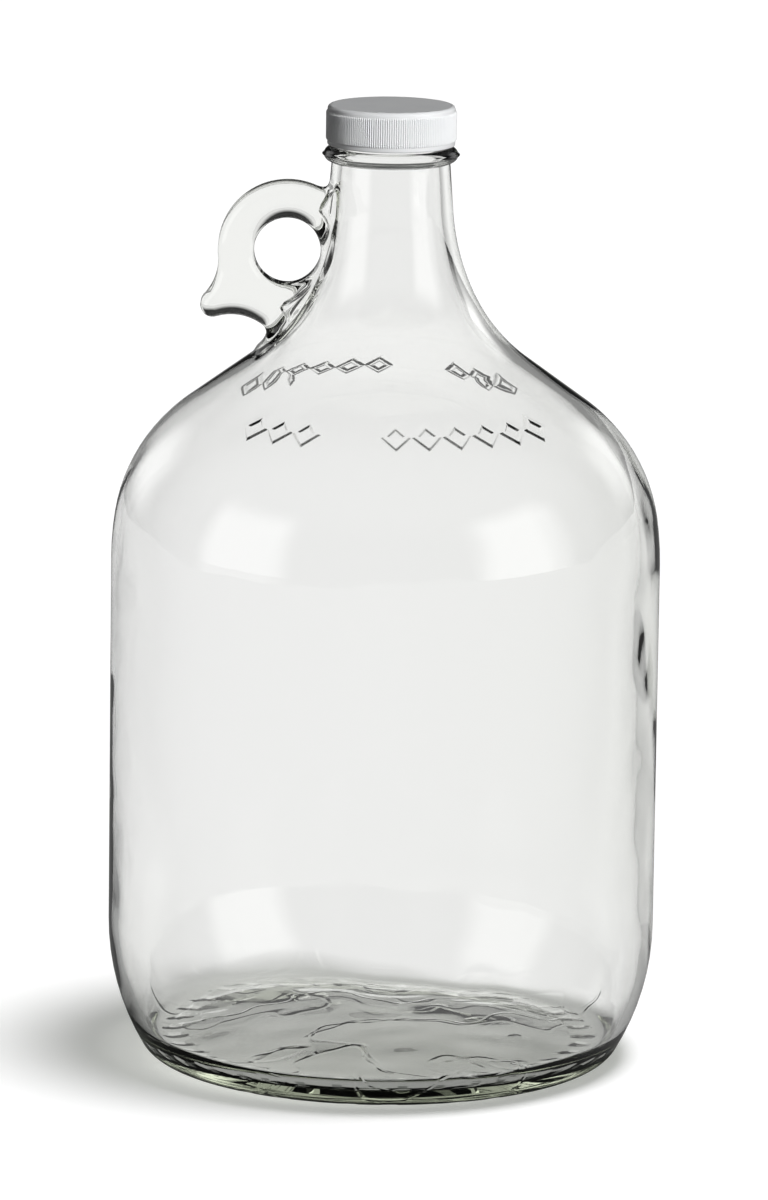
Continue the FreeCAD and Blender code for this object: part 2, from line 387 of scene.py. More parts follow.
def marks(x, y, z):
    """Height of the raised marks: plain lozenge outlines, one like the next."""
    raised = np.zeros(np.shape(x))
    near = (z > mark_low - 1.5) & (z < mark_high + 1.5)
    if not near.any():
        return raised
    bearing = np.degrees(np.arctan2(y, x))
    radius = np.hypot(x, y)
    up = (z - slope_middle) / slope_cosine
    for middle in mark_bearings():
        along = (bearing - middle + 180) % 360 - 180
        across = np.radians(along) * radius
        lozenge = np.abs(across) / mark_half_width + np.abs(up) / mark_half_height - 1
        edge = math.hypot(1 / mark_half_width, 1 / mark_half_height)
        raised = np.maximum(raised, bump(lozenge / edge, mark_stroke))
    return np.where(near, raised * mark_relief, 0.0)


# ---------------------------------------------------------------- outside of the glass


def outer_field(p):
    """Field whose zero is the outside of the glass from heel to neck, negative inside it."""
    x, y, z = p[..., 0], p[..., 1], p[..., 2]
    body = -outer_side.distance(np.hypot(x, y), z)
    joined = smooth_min(body, ring_field(x, y, z), root_blend)
    off_hole = np.hypot(x - hole_centre[0], z - hole_centre[1])
    pin = finger_hole_waist + finger_hole_draft * np.abs(y) - off_hole
    drilled = smooth_max(joined, pin, finger_hole_edge)
    in_reach = (x < -neck_radius * 0.9) & (np.abs(y) < ring_thickness)
    return np.where(in_reach, drilled, joined) - marks(x, y, z)


def gradient(field, p, step=0.01):
    """Slope of a field at points, by differences."""
    parts = []
    for axis in range(3):
        shift = np.zeros(3)
        shift[axis] = step
        parts.append((field(p + shift) - field(p - shift)) / (2 * step))
    return np.stack(parts, -1)


def settle(field, p, rounds=4):
    """Moves points onto the field's zero."""
    for _ in range(rounds):
        slope = gradient(field, p)
        size = np.maximum((slope ** 2).sum(-1, keepdims=True), 1e-6)
        step = field(p)[..., None] * slope / size
        longest = np.maximum(np.linalg.norm(step, axis=-1, keepdims=True), 1e-9)
        p = p - step * np.minimum(1.0, 1.0 / longest)
    return p


def column_edges():
    """Bearings of the mesh's columns in radians, closer together round the ring."""
    start = 180 - ring_sector
    end = 180 + ring_sector
    rest = 360 - 2 * ring_sector
    fine = np.linspace(start, end, round(2 * ring_sector / fine_step) + 1)
    coarse = np.linspace(end, end + rest, round(rest / coarse_step) + 1)
    return np.radians(np.concatenate([fine, coarse[1:-1]]))


def surface_net():
    """Quads round the field's zero between two heights, on a grid of bearing, height and
    distance out from the plain neck and shoulder.

    Returns the points, the quads, and the lowest and highest ring of points in column order.
    """
    turns = column_edges()
    columns = len(turns)
    heights = np.linspace(net_low, net_high, round((net_high - net_low) / net_cell) + 1)
    spur_reach = ring_radius + spur_overhang + spur_tip_radius - hole_centre[0]
    offsets = np.arange(-2.5, spur_reach + 3 - neck_radius, 1) * net_cell
    profile = np.array([side_radius(height) for height in heights])
    turn_grid, height_grid, offset_grid = np.meshgrid(turns, heights, offsets, indexing="ij")
    radius_grid = offset_grid + profile[None, :, None]
    x_grid = radius_grid * np.cos(turn_grid)
    y_grid = radius_grid * np.sin(turn_grid)
    values = outer_field(np.stack([x_grid, y_grid, height_grid], -1))
    all_round = np.concatenate([values, values[:1]])
    cells = (columns, len(heights) - 1, len(offsets) - 1)
    sums = np.zeros(cells + (3,))
    counts = np.zeros(cells)
    quads = []
    for axis in range(3):
        source = all_round if axis == 0 else values
        here = np.take(source, range(source.shape[axis] - 1), axis)
        following = np.take(source, range(1, source.shape[axis]), axis)
        crossing = np.argwhere((here < 0) != (following < 0))
        index = tuple(crossing.T)
        share = here[index] / (here[index] - following[index])
        place = crossing.astype(float)
        place[:, axis] += share
        b, c = [a for a in range(3) if a != axis]
        around = []
        for db, dc in ((0, 0), (1, 0), (1, 1), (0, 1)):
            cell = crossing.copy()
            cell[:, b] -= db
            cell[:, c] -= dc
            wrapped = place.copy()
            if b == 0:
                wrapped[:, 0] = np.where(cell[:, 0] < 0, wrapped[:, 0] + columns, wrapped[:, 0])
                cell[:, 0] %= columns
            real = np.ones(len(cell), bool)
            for a in (1, 2):
                real &= (cell[:, a] >= 0) & (cell[:, a] < cells[a])
            flat = np.ravel_multi_index(tuple(np.where(real[:, None], cell, 0).T), cells)
            np.add.at(sums.reshape(-1, 3), flat[real], wrapped[real])
            np.add.at(counts.reshape(-1), flat[real], 1)
            around.append(np.where(real, flat, -1))
        quad = np.stack(around, 1)
        outward = (here[index] < 0) != (axis == 1)
        quad = np.where(outward[:, None], quad, quad[:, ::-1])
        quads.append(quad[(quad >= 0).all(1)])
    quads = np.concatenate(quads)
    active = np.flatnonzero(counts.reshape(-1) > 0)
    number = np.full(counts.size, -1)
    number[active] = np.arange(len(active))
    mean = sums.reshape(-1, 3)[active] / counts.reshape(-1)[active][:, None]
    turn_table = np.concatenate([turns, turns[:1] + 2 * math.pi, turns[1:2] + 2 * math.pi])
    turn = np.interp(mean[:, 0], np.arange(columns + 2), turn_table)
    height = np.interp(mean[:, 1], np.arange(len(heights)), heights)
    radius = np.interp(mean[:, 2], np.arange(len(offsets)), offsets)
    radius += np.interp(mean[:, 1], np.arange(len(heights)), profile)
    points = np.stack([radius * np.cos(turn), radius * np.sin(turn), height], -1)
    grid_number = number.reshape(cells)
    low_ring = [grid_number[j, 0][grid_number[j, 0] >= 0] for j in range(columns)]
    high_ring = [grid_number[j, -1][grid_number[j, -1] >= 0] for j in range(columns)]
    assert all(len(r) == 1 for r in low_ring + high_ring), "the net's ends are plain rings"
    return points, number[quads], np.concatenate(low_ring), np.concatenate(high_ring)


def relax(points, quads, fixed, rounds):
    """Evens out a net: each point drifts towards its neighbours' middle, then settles."""
    ends = np.concatenate([quads[:, [i, (i + 1) % 4]] for i in range(4)])
    ends = np.concatenate([ends, ends[:, ::-1]])
    count = np.bincount(ends[:, 0], minlength=len(points))
    for _ in range(rounds):
        middle = np.stack([
            np.bincount(ends[:, 0], weights=points[ends[:, 1], axis], minlength=len(points))
            for axis in range(3)
        ], -1) / count[:, None]
        moved = points + 0.5 * (middle - points)
        moved[fixed] = points[fixed]
        points = settle(outer_field, moved, 2)
    return points


# ---------------------------------------------------------------- rows of the glass


def under_rows():
    """Rows (radius, height) of the domed underside, from its centre to the bearing ring."""
    dome_radius = (bearing_inner_radius ** 2 + push_up ** 2) / (2 * push_up)
    rows = []
    for radius in np.linspace(middle_radius, bearing_inner_radius, under_row_count):
        height = push_up - dome_radius + math.sqrt(dome_radius ** 2 - radius ** 2)
        rows.append((radius, height))
    return rows


def side_rows():
    """Rows of the outside, from the bearing ring up to where the net starts."""
    rows = [(bearing_inner_radius + bearing_width * i / 4, 0.0) for i in (1, 2, 3)]
    for point in outer_side.points(side_row_gap, side_row_bend):
        if point[1] < mark_low - mark_margin - 0.5:
            rows.append(tuple(point))
    start = mark_low - mark_margin
    length = net_low - net_cell - start
    steps = math.ceil(length / mark_row_gap)
    for i in range(steps + 1):
        height = start + length * i / steps
        rows.append((side_radius(height), height))
    return rows


def side_radius(height):
    """Radius of the outside at a height above the heel, found by halving."""
    low, high = neck_radius * 0.9, body_radius + 1
    for _ in range(40):
        middle = (low + high) / 2
        if outer_side.distance(np.array(middle), np.array(height)) > 0:
            low = middle
        else:
            high = middle
    return (low + high) / 2


def finish_rows():
    """Rows over the bead, the threaded finish and the lip, and down to the bore's foot."""
    rows = [(side_radius(bead_bottom - 0.3), bead_bottom - 0.3)]
    middle = bead_bottom + bead_height / 2
    half = bead_height / 2

    def bead_row(angle):
        turn = math.radians(angle)
        return neck_radius + bead_bulge * math.cos(turn), middle + half * math.sin(turn)

    step = (90 - ridge_half_angle) / bead_arc_steps
    rows += [bead_row(-90 + step * i) for i in range(bead_arc_steps + 1)]
    ridge = neck_radius + bead_bulge + ridge_depth
    rows += [
        (ridge - 0.12, middle - 0.16),
        (ridge, middle),
        (ridge - 0.12, middle + 0.16),
    ]
    rows += [bead_row(ridge_half_angle + step * i) for i in range(bead_arc_steps + 1)]
    rows.append((finish_radius, bead_top + 0.05))
    top = jug_height - lip_rounding
    low = bead_top + 0.6
    rows += [(finish_radius, low + (top - low) * i / 16) for i in range(17)]
    bore = finish_radius - finish_wall
    for i in range(1, 5):
        angle = math.radians(90 * i / 4)
        inward = lip_rounding * (1 - math.cos(angle))
        rows.append((finish_radius - inward, top + lip_rounding * math.sin(angle)))
    for i in range(0, 5):
        angle = math.radians(90 - 90 * i / 4)
        outward = lip_rounding * (1 - math.cos(angle))
        rows.append((bore + outward, top + lip_rounding * math.sin(angle)))
    rows += [(bore, top - (top - bead_top) * i / 6) for i in range(1, 6)]
    return rows


def inner_chain():
    """The inside from the edge of its floor up to the bore's foot."""
    high_radius = heel_high_radius - wall
    sine = math.sin(math.radians(inner_heel_turn))
    cosine = math.cos(math.radians(inner_heel_turn))
    join = (body_radius - wall - high_radius * (1 - cosine), heel_travel[1] - high_radius * sine)
    low_radius = (join[1] - floor_edge_height) / (1 - sine)
    edge = (join[0] - low_radius * cosine, floor_edge_height)
    steps = [
        (low_radius, 90 - inner_heel_turn),
        (high_radius, inner_heel_turn),
        (cylinder_height,),
    ]
    return Chain(edge, 0, steps + shoulder_steps(wall, slope_length))


def inner_rows():
    """Rows of the inside, from the bore's foot down to the middle of the floor."""
    chain = inner_chain()
    rows = [tuple(p) for p in reversed(chain.points(inner_row_gap, inner_row_bend))]
    edge_radius, edge_height = rows[-1]
    rise = push_up + floor_thickness - edge_height
    dome_radius = (edge_radius ** 2 + rise ** 2) / (2 * rise)
    dome_centre = edge_height + rise - dome_radius
    for radius in np.linspace(edge_radius, middle_radius, floor_row_count)[1:]:
        rows.append((radius, dome_centre + math.sqrt(dome_radius ** 2 - radius ** 2)))
    return rows


def ripples(seed, count, shortest, longest):
    """A smooth random field of waves, between about -1 and 1."""
    chance = np.random.default_rng(seed)
    directions = chance.normal(size=(count, 3))
    directions /= np.linalg.norm(directions, axis=1)[:, None]
    lengths = chance.uniform(shortest, longest, count)
    phases = chance.uniform(0, 2 * math.pi, count)
    strengths = lengths / lengths.mean() / math.sqrt(count)

    def field(p):
        total = np.zeros(p.shape[:-1])
        for direction, length, phase, strength in zip(directions, lengths, phases, strengths):
            total += strength * np.sin(p @ direction * (2 * math.pi / length) + phase)
        return total

    return field


def shape_knurls(p):
    """Shallow round-bottomed grooves across the bearing ring, on the low outside rows."""
    bearing = np.degrees(np.arctan2(p[..., 1], p[..., 0]))
    pitch = 360 / knurl_count
    along = bearing % pitch - pitch / 2
    radius = np.hypot(p[..., 0], p[..., 1])
    across = np.radians(along) * radius
    depth = knurl_depth * bump(across, knurl_half_width * 1.5)
    depth *= np.clip((radius - bearing_inner_radius + knurl_run_in) / knurl_run_in, 0, 1)
    lift = np.maximum(depth - p[..., 2], 0)
    result = p.copy()
    result[..., 2] += np.where(p[..., 2] < knurl_depth, lift, 0)
    return result


cavity_shift = 1.7                # the blown cavity lies off centre, towards -X
shift_low = 20.0                  # heights between which it does
shift_high = 262.0
broad_wave_depth = 0.16
short_wave_depth = 0.035
floor_wave_depth = 0.24
# middle height, half height and depth of the hollows blown out towards the ring
web_hollow = (246.0, 22.0, 2.4)
upper_root_hollow = (261.5, 6.5, 5.4)
lower_root_hollow = (231.8, 6.2, 8.2)
lower_root_tail = (225.5, 7.0, 2.5)
web_half_width = 5.5
lower_root_half_width = 5.0

broad_waves = ripples(11, 7, 30.0, 80.0)
short_waves = ripples(12, 9, 10.0, 24.0)
floor_waves = ripples(13, 9, 12.0, 40.0)


def shape_inside(p):
    """The blown inside: off centre, gently wavy, and drawn out into the ring's two roots."""
    x, y, z = p[..., 0], p[..., 1], p[..., 2]
    radius = np.maximum(np.hypot(x, y), 1e-6)
    out = np.stack([x / radius, y / radius], -1)

    def hollow(size):
        middle, half_height, depth = size
        return depth * bump(z - middle, half_height)

    share = np.clip((z - shift_low) / 60, 0, 1) * np.clip((shift_high - z) / 110, 0, 1)
    share = share * share * (3 - 2 * share)
    waves = broad_wave_depth * broad_waves(p) + short_wave_depth * short_waves(p)
    push = waves * np.clip(radius / 20, 0, 1)
    push = push * np.clip((jug_height - finish_height - z) / 8, 0, 1)
    across = np.abs(y)
    towards_ring = -out[..., 0] > 0.5
    web = hollow(web_hollow) + hollow(upper_root_hollow)
    lower = hollow(lower_root_hollow) + hollow(lower_root_tail)
    push += web * bump(across, web_half_width) * towards_ring
    push += lower * bump(across, lower_root_half_width) * towards_ring
    result = p.copy()
    result[..., 0] += out[..., 0] * push - cavity_shift * share
    result[..., 1] += out[..., 1] * push
    floor = (radius < 66) & (z < 14)
    uneven = floor_wave_depth * floor_waves(p) * np.clip((70 - radius) / 20, 0, 1)
    result[..., 2] += np.where(floor, uneven, 0)
    return result


def thread(p):
    """One and a half turns of raised glass thread round the finish."""
    x, y, z = p[..., 0], p[..., 1], p[..., 2]
    turn = (np.arctan2(y, x) / (2 * math.pi)) % 1.0
    count = (z - bead_top - thread_start) / thread_pitch - turn
    nearest = np.clip(np.round(count), 0, 1)
    gap = (count - nearest) * thread_pitch
    length = nearest + turn
    fade = np.clip(length / thread_fade, 0, 1)
    fade *= np.clip((thread_turns - length) / thread_fade, 0, 1)
    return thread_depth * bump(gap, thread_half_width) * fade


def ring_of(radius, height, turns):
    """A level ring of points at the given turns round the axis."""
    level = np.full(len(turns), height)
    return np.stack([radius * np.cos(turns), radius * np.sin(turns), level], -1)


def row_normals(grid):
    """Normals of a grid of rows and columns that closes on itself along each row."""
    ahead = np.roll(grid, -1, 1) - grid
    behind = grid - np.roll(grid, 1, 1)
    ahead_size = np.linalg.norm(ahead, axis=-1, keepdims=True)
    behind_size = np.linalg.norm(behind, axis=-1, keepdims=True)
    along = ahead / ahead_size ** 2 + behind / behind_size ** 2
    up = np.diff(grid, axis=0)
    up = up / np.maximum(np.linalg.norm(up, axis=-1, keepdims=True), 1e-9) ** 2
    rise = np.concatenate([up[:1], up[1:] + up[:-1], up[-1:]])
    normal = np.cross(along, rise)
    return normal / np.maximum(np.linalg.norm(normal, axis=-1, keepdims=True), 1e-12)


def column_middles():
    """Bearings halfway between the columns, where the net puts its points."""
    turns = column_edges()
    following = np.concatenate([turns[1:], turns[:1] + 2 * math.pi])
    return (turns + following) / 2


def strip(rows, offset, columns):
    """Quads between rows of points numbered from offset."""
    row, column = np.meshgrid(np.arange(rows - 1), np.arange(columns), indexing="ij")
    a = offset + row * columns + column
    b = offset + row * columns + (column + 1) % columns
    return np.stack([a, b, b + columns, a + columns], -1).reshape(-1, 4)


def fan(middle, first, columns, side):
    """Triangles from a middle point to a ring of points numbered from first."""
    ring = [first + j for j in range(columns)]
    return [[middle, a, b][::side] for a, b in zip(ring, ring[1:] + ring[:1])]


def bridge(lower, upper):
    """Quads between two closed rings of point numbers."""
    return np.stack([lower, np.roll(lower, -1), np.roll(upper, -1), upper], -1)


def glass_mesh():
    """Points (mm), faces and normals of the whole glass, as one closed skin."""
    turns = column_middles()
    columns = len(turns)
    net, net_quads, low_ring, high_ring = surface_net()
    net = settle(outer_field, net)
    fixed = np.concatenate([low_ring, high_ring])
    net = relax(net, net_quads, fixed, relax_rounds)
    net_normals = gradient(outer_field, net)

    lower = np.stack([ring_of(r, z, turns) for r, z in under_rows() + side_rows()])
    lower = shape_knurls(lower)
    lower_normals = row_normals(np.concatenate([lower, net[low_ring][None]]))[:-1]

    upper = np.stack([ring_of(r, z, turns) for r, z in finish_rows()])
    out = upper / np.hypot(upper[..., :1], upper[..., 1:2])
    on_finish = (upper[..., 2] > bead_top + 0.3) & (upper[..., 2] < jug_height - 1)
    on_finish &= np.hypot(upper[..., 0], upper[..., 1]) > finish_radius - 0.01
    rise = np.where(on_finish, thread(upper), 0)[..., None]
    upper = upper + rise * out * np.array([1, 1, 0])
    inside = shape_inside(np.stack([ring_of(r, z, turns) for r, z in inner_rows()]))
    rest = np.concatenate([upper, inside])
    rest_normals = row_normals(np.concatenate([net[high_ring][None], rest]))[1:]

    points = np.concatenate([lower.reshape(-1, 3), net, rest.reshape(-1, 3)])
    start_net = lower.shape[0] * columns
    start_rest = start_net + len(net)
    quads = [
        strip(lower.shape[0], 0, columns),
        bridge(np.arange(start_net - columns, start_net), low_ring + start_net),
        net_quads + start_net,
        bridge(high_ring + start_net, np.arange(start_rest, start_rest + columns)),
        strip(rest.shape[0], start_rest, columns),
    ]
    faces = np.concatenate(quads).tolist()
    normals = np.concatenate([
        lower_normals.reshape(-1, 3),
        net_normals,
        rest_normals.reshape(-1, 3),
    ])

    under_middle = len(points)
    floor_middle = under_middle + 1
    last = len(points) - columns
    floor_height = rest[-1][:, 2].mean()
    points = np.concatenate([points, [[0, 0, push_up], [0, 0, floor_height]]])
    normals = np.concatenate([normals, [[0, 0, -1], [0, 0, 1]]])
    faces += fan(under_middle, 0, columns, -1) + fan(floor_middle, last, columns, 1)
    return points, faces, normals


def on_outside(x, y, z):
    """Whether a point of the skin is on its outside, not on the cavity's wall."""
    return math.hypot(x, y) > side_radius(z) - wall / 2


def refine_marks(mesh):
    """Splits the faces under the raised marks finely, so that the marks are real relief.

    The "field" attribute tells which points then settle onto the raised outside.
    """
    work = bmesh.new()
    work.from_mesh(mesh)
    layer = work.verts.layers.int.new("field")
    span = math.degrees(mark_half_width * 1.25 / 60) + 1.2
    bearings = mark_bearings()
    level_edges = set()
    for face in work.faces:
        middle = face.calc_center_median() / MM
        if not mark_low - 1.2 < middle.z < mark_high + 1.2:
            continue
        if not on_outside(*middle):
            continue
        bearing = math.degrees(math.atan2(middle.y, middle.x))
        if all(abs((bearing - b + 180) % 360 - 180) >= span for b in bearings):
            continue
        for edge in face.edges:
            start, end = edge.verts
            if abs(start.co.z - end.co.z) < 0.05 * MM:
                level_edges.add(edge)
    bmesh.ops.subdivide_edges(work, edges=list(level_edges), cuts=mark_cuts, use_grid_fill=True)
    for vert in work.verts:
        place = vert.co / MM
        if mark_low - 2.1 < place.z < mark_high + 2.1 and on_outside(*place):
            vert[layer] = 1
    work.to_mesh(mesh)
    work.free()


def read_vectors(data, name, count):
    """A list of vectors out of a mesh, as rows of three numbers."""
    flat = np.zeros(count * 3, np.float32)
    data.foreach_get(name, flat)
    return flat.reshape(-1, 3).astype(float)


def make_glass():
    points, faces, normals = glass_mesh()
    mesh = bpy.data.meshes.new("jug_glass")
    mesh.from_pydata((points * MM).tolist(), [], faces)
    kept = mesh.attributes.new("made_normal", "FLOAT_VECTOR", "POINT")
    kept.data.foreach_set("vector", normals.astype(np.float32).ravel())
    refine_marks(mesh)
    count = len(mesh.vertices)
    points = read_vectors(mesh.vertices, "co", count) / MM
    normals = read_vectors(mesh.attributes["made_normal"].data, "vector", count)
    flags = np.zeros(count, np.int32)
    mesh.attributes["field"].data.foreach_get("value", flags)
    on_marks = flags > 0
    points[on_marks] = settle(outer_field, points[on_marks], 3)
    normals[on_marks] = gradient(outer_field, points[on_marks])
    normals /= np.maximum(np.linalg.norm(normals, axis=1, keepdims=True), 1e-12)
    points[:, :2] *= skin_inset
    mesh.vertices.foreach_set("co", (points * MM).astype(np.float32).ravel())
    mesh.attributes.remove(mesh.attributes["made_normal"])
    mesh.attributes.remove(mesh.attributes["field"])
    mesh.polygons.foreach_set("use_smooth", [True] * len(mesh.polygons))
    mesh.update()
    mesh.normals_split_custom_set_from_vertices(normals.tolist())
    glass = bpy.data.objects.new("jug_glass", mesh)
    bpy.context.scene.collection.objects.link(glass)
    return glass


# ---------------------------------------------------------------- cap


def cap_rows():
    """Rows (radius, height, share of the rib) from the top's middle to its underside's."""
    bore = finish_radius + thread_depth + cap_clearance
    plain = bore + cap_wall
    top = jug_height + cap_top_thickness
    bottom = jug_height - finish_height + skirt_gap
    rows = [(r, top, 0) for r in (3.0, 8.0, 13.0, plain - cap_edge_rounding - 0.25)]
    for i in range(7):
        angle = math.radians(90 - 90 * i / 6)
        rows.append((
            plain - cap_edge_rounding * (1 - math.cos(angle)),
            top - cap_edge_rounding * (1 - math.sin(angle)),
            0,
        ))
    rib_top = top - upper_band
    rib_bottom = bottom + lower_band
    rib_end = [(-0.25, 0), (0.0, 0.25), (0.12, 0.6), (0.3, 0.9), (0.55, 1.0)]
    length = rib_top - rib_bottom
    rows += [(plain, rib_top - gap, share) for gap, share in rib_end]
    rows += [(plain, rib_top - length * part, 1.0) for part in (0.25, 0.5, 0.75)]
    rows += [(plain, rib_bottom + gap, share) for gap, share in reversed(rib_end)]
    rows += [
        (plain, bottom + 0.3, 0),
        (plain - 0.09, bottom + 0.09, 0),
        (plain - 0.3, bottom, 0),
        (bore + 0.25, bottom, 0),
        (bore + 0.07, bottom + 0.07, 0),
        (bore, bottom + 0.25, 0),
        (bore, jug_height - 0.3, 0),
        (bore - 0.3, jug_height, 0),
        (8.0, jug_height, 0),
        (3.0, jug_height, 0),
    ]
    return rows


def make_cap():
    """The cap as one closed shell, its ribs rounded in plan and run out at both ends."""
    columns = rib_count * rib_steps
    turns = np.arange(columns) * (2 * math.pi / columns)
    wave = (0.5 - 0.5 * np.cos(turns * rib_count)) ** 0.75
    rows = cap_rows()
    grid = np.stack([ring_of(r, z, turns) for r, z, _ in rows])
    out = np.stack([np.cos(turns), np.sin(turns), np.zeros(columns)], -1)
    for i, (_, _, share) in enumerate(rows):
        grid[i] += out * (wave * share * (rib_depth + rib_crown))[:, None]
    points = grid.reshape(-1, 3)
    faces = strip(len(rows), 0, columns)[:, ::-1].tolist()
    top_middle = len(points)
    points = np.concatenate([points, [[0, 0, rows[0][1]], [0, 0, rows[-1][1]]]])
    last = len(rows) * columns - columns
    faces += fan(top_middle, 0, columns, 1) + fan(top_middle + 1, last, columns, -1)
    mesh = bpy.data.meshes.new("cap_shell")
    mesh.from_pydata((points * MM).tolist(), [], faces)
    mesh.polygons.foreach_set("use_smooth", [True] * len(mesh.polygons))
    mesh.update()
    piece = bpy.data.objects.new("cap_shell", mesh)
    bpy.context.scene.collection.objects.link(piece)
    return piece


# ---------------------------------------------------------------- materials

flow_line_fineness = 70.0         # the higher, the thinner the lines
flow_line_top = 0.0135            # metres above the base where they end, and fade over
flow_line_fade = 0.0025


class Wiring:
    """A node tree under construction: its nodes, links, math and light path."""

    def __init__(self, owner):
        owner.use_nodes = True
        self.tree = owner.node_tree
        self.tree.nodes.clear()
        self.path = self.add("LightPath").outputs
        self.place = self.add("TexCoord").outputs

    def add(self, kind, inputs=None):
        """A new node with each input set to a value or linked to another node's output."""
        node = self.tree.nodes.new("ShaderNode" + kind)
        for name, value in (inputs or {}).items():
            if isinstance(value, bpy.types.NodeSocket):
                self.tree.links.new(value, node.inputs[name])
            else:
                node.inputs[name].default_value = value
        return node

    def math(self, operation, a, b=None):
        """A math node on outputs or numbers; returns its result."""
        node = self.add("Math", {0: a} if b is None else {0: a, 1: b})
        node.operation = operation
        return node.outputs[0]

    def product(self, first, *others):
        for other in others:
            first = self.math("MULTIPLY", first, other)
        return first

    def clamped(self, operation, a, b):
        """The same as math, kept between 0 and 1."""
        result = self.math(operation, a, b)
        result.node.use_clamp = True
        return result

    def pick(self, choice, chosen, other):
        """chosen where choice is 1, other where it is 0."""
        gap = self.math("SUBTRACT", chosen, other)
        return self.math("ADD", self.product(gap, choice), other)

    def fade(self, limit, value, width):
        """1 while the value is under the limit by the width, 0 from the limit on; degrees."""
        below = self.math("SUBTRACT", math.radians(limit), value)
        return self.clamped("DIVIDE", below, math.radians(width))

    def turned_aside(self):
        """1 for light that total reflection in the glass has turned."""
        return self.math("GREATER_THAN", self.path["Glossy Depth"], 0.5)

    def mirrored(self):
        """1 for light that a surface mirrors without letting it in."""
        outside = self.math("SUBTRACT", 1.0, self.path["Is Transmission Ray"])
        return self.product(self.path["Is Glossy Ray"], outside)

    def noise(self, scale, detail):
        inputs = {"Vector": self.place["Object"], "Scale": scale, "Detail": detail}
        return self.add("TexNoise", inputs).outputs["Fac"]

    def relief(self, height, strength, distance):
        """The normal of a bumped surface."""
        inputs = {"Height": height, "Strength": strength, "Distance": distance}
        return self.add("Bump", inputs).outputs["Normal"]


def glass_material():
    """Clear container glass: faintly green in its thick parts, with a lighter shadow."""
    material = bpy.data.materials.new("clear_glass")
    wiring = Wiring(material)
    uneven = wiring.relief(wiring.noise(60.0, 1.0), 0.05, 0.001)

    # Hair-fine flow lines, only in the floor and the foot of the wall.
    wander = wiring.noise(22.0, 2.0)
    off_line = wiring.math("ABSOLUTE", wiring.math("SUBTRACT", wander, 0.5))
    line = wiring.clamped("SUBTRACT", 1.0, wiring.product(off_line, flow_line_fineness))
    height = wiring.add("SeparateXYZ", {0: wiring.place["Object"]}).outputs[2]
    below = wiring.math("SUBTRACT", flow_line_top, height)
    low = wiring.clamped("MULTIPLY", below, 1 / flow_line_fade)
    lines = wiring.relief(wiring.product(line, low), 1.0, 0.00012)
    wiring.tree.links.new(uneven, lines.node.inputs["Normal"])

    shader = wiring.add("BsdfPrincipled", {
        "Base Color": (1.0, 1.0, 1.0, 1.0),
        "Roughness": 0.0,
        "IOR": 1.52,
        "Transmission Weight": 1.0,
        "Normal": lines,
    })
    # Light passes to the floor as through clear glass, less so where it only grazes.
    shade = wiring.add("MixRGB", {
        "Fac": wiring.add("LayerWeight", {"Blend": 0.3}).outputs["Facing"],
        "Color1": (0.93, 0.935, 0.92, 1.0),
        "Color2": (0.36, 0.37, 0.36, 1.0),
    })
    clear = wiring.add("BsdfTransparent", {"Color": shade.outputs["Color"]})
    mix = wiring.add("MixShader", {
        "Fac": wiring.path["Is Shadow Ray"],
        1: shader.outputs["BSDF"],
        2: clear.outputs["BSDF"],
    })
    tint = wiring.add("VolumeAbsorption", {"Color": (0.84, 0.9, 0.7, 1.0), "Density": 10.0})
    wiring.add("OutputMaterial", {
        "Surface": mix.outputs["Shader"],
        "Volume": tint.outputs["Volume"],
    })
    return material


def cap_material():
    """White moulded plastic, satin, with the faintest grain."""
    material = bpy.data.materials.new("white_cap_plastic")
    wiring = Wiring(material)
    tint = wiring.add("ValToRGB", {"Fac": wiring.noise(90.0, 3.0)})
    darker, paler = tint.color_ramp.elements
    darker.position = 0.3
    darker.color = (0.83, 0.84, 0.85, 1.0)
    paler.position = 0.7
    paler.color = (0.87, 0.88, 0.885, 1.0)
    shader = wiring.add("BsdfPrincipled", {
        "Base Color": tint.outputs["Color"],
        "Roughness": 0.34,
        "IOR": 1.5,
        "Normal": wiring.relief(wiring.noise(1400.0, 2.0), 0.06, 0.0002),
    })
    wiring.add("OutputMaterial", {"Surface": shader.outputs["BSDF"]})
    return material


# ---------------------------------------------------------------- studio

# How much light the floor gives back: for the eye; straight through the glass; for what
# the glass turns aside by total reflection, behind the jug and elsewhere; for what its
# front mirrors; and for what falls back on the object. Away from behind the jug, what the
# glass turns aside sees the floor painted dark, and so does what its front mirrors: painted
# shade that makes the glass's dark edges and dim reflections.
floor_plain = 0.9
floor_through = 0.57
floor_behind = 0.85
painted_dark_floor_aside = 0.25
painted_dark_floor_mirrored = 0.15
floor_bounce = 0.16
behind_half_angle = 50.0          # degrees either side of straight behind, and the fade
behind_fade = 20.0                # inside it

# A glow of the floor itself makes it white for the eye. It is also painted light that thins the
# shadow through glass, and it is weaker near the jug, a painted shade round the jug's foot.
floor_glow = 0.2
glow_left_in_painted_shade = 0.5              # share of it under the middle of the jug
glow_inner_edge = 0.5             # as shares of the body's radius
glow_outer_edge = 0.95
painted_glow_through = 2.0                # times as strong straight through the glass, and turned
painted_glow_turned = 1.2                 # aside

# The room, as a share of white
room_level = 0.07                 # for matte surfaces
room_mirrored = 0.03              # for glass
ceiling_level = 0.3               # more of it overhead, for what the glass mirrors
ceiling_full = 40.0               # elevation where that is full, and the fade below it
ceiling_fade = 20.0
backdrop_top = 9.0                # elevation where the white backdrop ends, in degrees
backdrop_fade = 6.0
turned_backdrop_level = 0.45      # what of it the glass turns aside by total reflection
turned_backdrop_top = 26.0
turned_backdrop_fade = 8.0
turned_backdrop_side = 140.0      # it only counts this far round from the camera's side
soft_box_edge = 9.0               # degrees over which a soft box fades out

